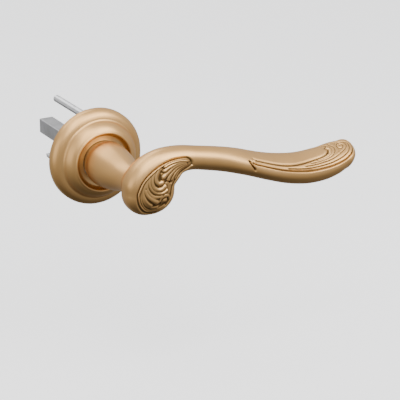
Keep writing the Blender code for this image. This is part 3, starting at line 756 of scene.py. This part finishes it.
def smooth_rows(stations, distances):
    """The station values at each distance along the smooth curve through the stations."""
    knots = knots_of(stations)
    last = len(stations) - 1
    before = np.maximum(np.arange(len(stations)) - 1, 0)
    after = np.minimum(np.arange(len(stations)) + 1, last)
    gradients = (stations[after] - stations[before]) / (knots[after] - knots[before])[:, None]
    i = np.clip(np.searchsorted(knots, distances, side="right") - 1, 0, last - 1)
    step = (knots[i + 1] - knots[i])[:, None]
    s = (distances[:, None] - knots[i][:, None]) / step
    return ((1 + 2 * s) * (1 - s) ** 2 * stations[i] + s * (1 - s) ** 2 * step * gradients[i]
            + s * s * (3 - 2 * s) * stations[i + 1] + s * s * (s - 1) * step * gradients[i + 1])


class GripSurface:
    """The grip's plain skin: rings of points, their normals and their place along the grip."""

    def __init__(self):
        length = knots_of(GRIP_STATIONS)[-1]
        body = np.concatenate([np.arange(0, LEAF_END, LEAF_RING_STEP),
                               np.arange(LEAF_END, PADDLE_START, STEM_RING_STEP),
                               np.arange(PADDLE_START, length, PADDLE_RING_STEP), [length]])
        turn = QUARTER * np.arange(1, END_RINGS) / END_RINGS
        distances = np.concatenate([np.zeros(len(turn)), body, np.full(len(turn), length)])
        shifts = np.concatenate([-DROP_END_LENGTH * np.cos(turn), np.zeros(len(body)),
                                 TIP_END_LENGTH * np.cos(turn[::-1])])
        scales = np.concatenate([np.sin(turn), np.ones(len(body)), np.sin(turn[::-1])])
        rows = smooth_rows(GRIP_STATIONS, distances)
        ahead = smooth_rows(GRIP_STATIONS, np.minimum(distances + DIRECTION_STEP, length))
        behind = smooth_rows(GRIP_STATIONS, np.maximum(distances - DIRECTION_STEP, 0))
        way = ahead[:, :3] - behind[:, :3]
        way /= np.linalg.norm(way, axis=1)[:, None]
        across = np.radians(rows[:, 3])
        roll = np.radians(rows[:, 6])[:, None]
        upward = np.stack([np.cos(across), np.sin(across), np.zeros_like(across)], axis=1)
        outward = np.array([[0.0, 0.0, 1.0]])
        face = outward * np.cos(roll) + upward * np.sin(roll)
        side = outward * np.sin(roll) - upward * np.cos(roll)
        corner = 2 * math.pi * np.arange(GRIP_SIDES) / GRIP_SIDES
        corner = corner + SIDE_CROWDING * np.cos(corner)
        power = 2 / rows[:, 7][:, None]
        cosine, sine = np.cos(corner)[None], np.sin(corner)[None]
        u = np.sign(cosine) * np.abs(cosine) ** power * (rows[:, 4] * scales)[:, None]
        v = np.sign(sine) * np.abs(sine) ** power * (rows[:, 5] * scales)[:, None]
        middle = rows[:, :3] + way * shifts[:, None]
        self.points = middle[:, None] + u[..., None] * side[:, None] + v[..., None] * face[:, None]
        self.ends = (rows[0, :3] - way[0] * DROP_END_LENGTH,
                     rows[-1, :3] + way[-1] * TIP_END_LENGTH)
        self.along = np.broadcast_to((distances + shifts)[:, None], u.shape)
        self.offset = u
        self.normals = self.find_normals()
        self.facing = (self.normals * face[:, None]).sum(axis=-1)

    def find_normals(self):
        """The skin's outward direction at every point."""
        round_way = np.roll(self.points, -1, axis=1) - np.roll(self.points, 1, axis=1)
        long_way = np.gradient(self.points, axis=0)
        normals = np.cross(long_way, round_way)
        normals /= np.maximum(np.linalg.norm(normals, axis=-1, keepdims=True), 1e-9)
        outward = self.points - self.points.mean(axis=1, keepdims=True)
        if (normals * outward).sum() < 0:
            normals = -normals
        return normals


def soften(height, times):
    """Rounds the carving off, by averaging each spot with its neighbours."""
    for _ in range(times):
        rows = np.pad(height, ((1, 1), (0, 0)), mode="edge")
        height = (rows[:-2] + 2 * height + rows[2:]) / 4
        height = (np.roll(height, 1, axis=1) + 2 * height + np.roll(height, -1, axis=1)) / 4
    return height


def depth_inside(spots, outline):
    """How deep each spot lies inside a closed outline, and 0 outside it."""
    closed = smooth_line(outline + outline[:1])
    edge, _ = along_line(spots, closed)
    return np.where(inside(spots, closed), edge, 0.0)


def leaf_relief(surface):
    """Height of the carved leaf on the drop, in millimetres from the plain skin."""
    height = np.zeros(surface.along.shape)
    near = (surface.along < LEAF_END) & (surface.normals[..., 2] > LEAF_FACING[0])
    spots = surface.points[near][:, :2]
    floor = LEAF_FLOOR * fade(depth_inside(spots, LEAF_OUTLINE), 0.0, LEAF_EDGE_WIDTH)
    local = floor.copy()
    for widths, rises, points in LEAF_RIDGES:
        add_ridge(local, spots, floor, points, widths, rises)
    for centre, radius, depth in LEAF_PITS:
        sink_pit(local, spots, centre, radius, depth)
    for width, depth, points in LEAF_LINES:
        cut_groove(local, spots, points, width, depth)
    height[near] = local * fade(surface.normals[near][:, 2], *LEAF_FACING)
    return height


def paddle_relief(surface):
    """Height of the carving on the paddle: a sunk panel with a smooth raised tongue in it."""
    height = np.zeros(surface.along.shape)
    near = (surface.along > PADDLE_START) & (surface.facing > PADDLE_FACING[0])
    spots = np.stack([surface.along[near], surface.offset[near]], axis=1)
    in_panel = depth_inside(spots, PANEL_EDGE)
    in_tongue = depth_inside(spots, TONGUE_EDGE)
    on_tongue = in_tongue > 0
    local = PANEL_FLOOR * fade(in_panel, 0.0, PANEL_EDGE_WIDTH) * ~on_tongue
    tongue_slope = 1 - fade(in_tongue, 0.0, TONGUE_EDGE_WIDTH)
    local += TONGUE_EDGE_DROP * tongue_slope * fade(in_panel, 0.0, TONGUE_START_WIDTH) * on_tongue
    for width, depth, points in (*PADDLE_LINES, NOTCH):
        cut_groove(local, spots, points, width, depth)
    sink_pit(local, spots, BEAD_PLACE, BEAD_RADIUS, -BEAD_RISE)
    height[near] = local * fade(surface.facing[near], *PADDLE_FACING)
    return height


def make_grip(material):
    """The carved lever, marked with how hollow it is at each spot, for the material to paint shade
    into the hollows.
    """
    surface = GripSurface()
    height = soften(leaf_relief(surface) + paddle_relief(surface), CARVING_SOFTENING)
    points = surface.points + surface.normals * height[..., None]
    grip = skin("grip_carved", points, surface.ends, material)
    # How far each spot lies below its softened surroundings, which the gold turns into painted shade
    # in the grooves
    cavity = np.clip((height - soften(height, CAVITY_SOFTENING)) / CAVITY_DEPTH, -1, 1)
    marks = grip.data.attributes.new("cavity", "FLOAT", "POINT")
    marks.data.foreach_set("value", np.append(cavity.ravel(), (0.0, 0.0)).astype(np.float32))
    pocket = bar([(TENON_HOLE_RADIUS, TENON_HOLE_TOP), (TENON_HOLE_RADIUS, NECK_SEAT_HEIGHT),
                  (NECK_SEAT_RADIUS, NECK_SEAT_HEIGHT), (NECK_SEAT_RADIUS, 40.0)], 96)
    return cut_away(grip, pocket)


# ---------------------------------------------------------------- stage, light and camera

LIGHT_AIM = Vector((0.04, -0.03, 0.0))
LIGHT_DISTANCE = 1.2
# Each softbox: name, azimuth (0 to +X, -90 to the front), elevation, size in metres, radiance
SOFTBOXES = (
    ("front_top", -85.0, 52.0, (1.8, 1.1), 2.25),
    ("front", -58.0, 38.0, (1.0, 0.6), 2.0),
    ("left", -170.0, 8.0, (0.9, 0.8), 0.8),
    ("back", 103.0, 46.0, (1.1, 0.5), 1.8),
    ("top_left", -165.0, 72.0, (0.9, 0.6), 1.5),
)
# The studio's brightness by direction: the sine of the elevation, and the radiance there
STUDIO = ((-1.0, 0.08), (-0.85, 0.13), (-0.68, 0.25), (-0.45, 0.38), (0.0, 0.56), (0.26, 0.66),
          (0.42, 0.75), (0.60, 0.85), (1.0, 1.0))
FLOOR_GAP = 0.004
FLOOR_HALF = 3.0


def softbox(name, azimuth, elevation, size, radiance):
    """A rectangular area light that faces the lever."""
    azimuth, elevation = math.radians(azimuth), math.radians(elevation)
    way = Vector((math.cos(azimuth) * math.cos(elevation),
                  math.sin(azimuth) * math.cos(elevation), math.sin(elevation)))
    light = bpy.data.lights.new(name, "AREA")
    light.shape = "RECTANGLE"
    light.size, light.size_y = size
    light.energy = radiance * math.pi * size[0] * size[1]
    lamp = bpy.data.objects.new(name, light)
    lamp.location = LIGHT_AIM + way * LIGHT_DISTANCE
    lamp.rotation_euler = (-way).to_track_quat("-Z", "Y").to_euler()
    bpy.context.scene.collection.objects.link(lamp)


def make_world():
    """The studio's own soft light: bright overhead, medium at the sides, and dark below."""
    world = bpy.data.worlds.new("studio")
    world.use_nodes = True
    tree = world.node_tree
    background = tree.nodes["Background"]
    place = tree.nodes.new("ShaderNodeTexCoord")
    split = tree.nodes.new("ShaderNodeSeparateXYZ")
    shift = tree.nodes.new("ShaderNodeMapRange")
    ramp = tree.nodes.new("ShaderNodeValToRGB")
    shift.inputs["From Min"].default_value = -1.0
    tree.links.new(place.outputs["Generated"], split.inputs[0])
    tree.links.new(split.outputs["Z"], shift.inputs["Value"])
    tree.links.new(shift.outputs["Result"], ramp.inputs["Fac"])
    elements = ramp.color_ramp.elements
    while len(elements) < len(STUDIO):
        elements.new(0.5)
    for element, (rise, radiance) in zip(elements, STUDIO):
        element.position = (rise + 1) / 2
        element.color = (radiance, radiance, radiance, 1.0)
    tree.links.new(ramp.outputs["Color"], background.inputs["Color"])
    background.inputs["Strength"].default_value = 1.0
    bpy.context.scene.world = world


def lowest_reach():
    """The height that the lever's tip comes down to when it is pressed all the way."""
    low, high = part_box("lever_grip")
    joint = frame["record"]["behaviour"]["joints"][0]
    turn = math.radians(joint["range_deg"][1])
    return low[2] * math.cos(turn) - high[0] * math.sin(turn)


def make_floor(height):
    """A pale floor that throws light up at the lever and doesn't show in its reflections."""
    mesh = bpy.data.meshes.new("floor")
    corners = [(across * FLOOR_HALF, back * FLOOR_HALF, height)
               for across, back in ((-1, -1), (1, -1), (1, 1), (-1, 1))]
    mesh.from_pydata(corners, [], [(0, 1, 2, 3)])
    floor = bpy.data.objects.new("floor", mesh)
    bpy.context.scene.collection.objects.link(floor)
    nodes = Nodes("pale_floor")
    color = nodes.ramp(nodes.noise(nodes.object_point(), 3.0), ((0.3, (0.84, 0.85, 0.87)),
                                                              (0.7, (0.88, 0.88, 0.89))))
    rough = nodes.remap(nodes.noise(nodes.object_point(), 40.0), 0.75, 0.85)
    floor.data.materials.append(nodes.finish(color, rough, metallic=0.0, Emission_Strength=0.9,
                                             Emission_Color=(1.0, 1.0, 1.0, 1.0)))
    floor.visible_glossy = False


def make_camera():
    """The camera that the photograph was taken with, worked out from the rose's ellipse."""
    azimuth, elevation = math.radians(CAMERA_AZIMUTH), math.radians(CAMERA_ELEVATION)
    back = Vector((math.sin(azimuth) * math.cos(elevation),
                   -math.cos(azimuth) * math.cos(elevation), math.sin(elevation)))
    lens = bpy.data.cameras.new("camera")
    lens.lens = CAMERA_LENS
    lens.clip_start = 0.01
    camera = bpy.data.objects.new("camera", lens)
    camera.location = Vector(CAMERA_AIM) + back * CAMERA_DISTANCE
    camera.rotation_euler = (-back).to_track_quat("-Z", "Y").to_euler()
    bpy.context.scene.collection.objects.link(camera)
    bpy.context.scene.camera = camera


# ---------------------------------------------------------------- the whole scene

def stand_in(piece, body, node):
    """The piece is shown instead of a CAD node, and moves with its body."""
    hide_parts(node)
    if body is not None:
        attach(piece, body)


def main():
    """Lights and finishes the CAD model, and shows the finer pieces instead of their nodes."""
    make_camera()
    make_world()
    for name, azimuth, elevation, size, radiance in SOFTBOXES:
        softbox(name, azimuth, elevation, size, radiance)
    make_floor(lowest_reach() - FLOOR_GAP)

    gold = satin_gold("satin_gold_cast")
    steel = plated_steel("zinc_plated_steel", (0.50, 0.50, 0.50), (0.66, 0.66, 0.68), (1, 1, 8))
    dark_steel = plated_steel("spring_steel", (0.13, 0.13, 0.15), (0.22, 0.22, 0.24), (1, 1, 8))
    casting = zinc_casting("zinc_casting")
    nylon = moulded_nylon("moulded_nylon")
    finishes = {"satin_gold": gold, "zinc_plated_steel": steel, "spring_steel": dark_steel,
                "zinc_casting": casting, "white_nylon": nylon}
    for row in frame["record"]["subparts"]:
        node = frame["nodes"][row["node"]]
        node.data.materials.clear()
        node.data.materials.append(finishes[row["material_slot"]])

    stand_in(make_grip(gold), "lever", "lever_grip")
    stand_in(make_neck(gold), "lever", "neck")
    stand_in(make_rose(gold), "rose", "rose_cover")
    stand_in(make_spring(dark_steel), None, "return_spring")
    stand_in(make_cover_ring(dark_steel), "rose", "cover_ring")
    for side, sign in (("upper", 1), ("lower", -1)):
        place = (0.0, sign * THROUGH_BOLT_PLACE)
        bolt = threaded(f"m4_bolt_{side}", steel, place, THROUGH_BOLT)
        stand_in(bolt, "rose", f"through_bolt_{side}")
    for side, sign in (("right", 1), ("left", -1)):
        place = (sign * WOOD_SCREW_PLACE, 0.0)
        screw = threaded(f"threaded_wood_screw_{side}", steel, place, WOOD_SCREW)
        stand_in(screw, "rose", f"wood_screw_{side}")
    for number, (across, up) in enumerate(((1, 1), (-1, 1), (-1, -1), (1, -1)), 1):
        place = (across * LID_SCREW_PLACE, up * LID_SCREW_PLACE)
        screw = threaded(f"threaded_lid_screw_{number}", steel, place, LID_SCREW)
        stand_in(screw, "rose", f"lid_screw_{number}")


main()
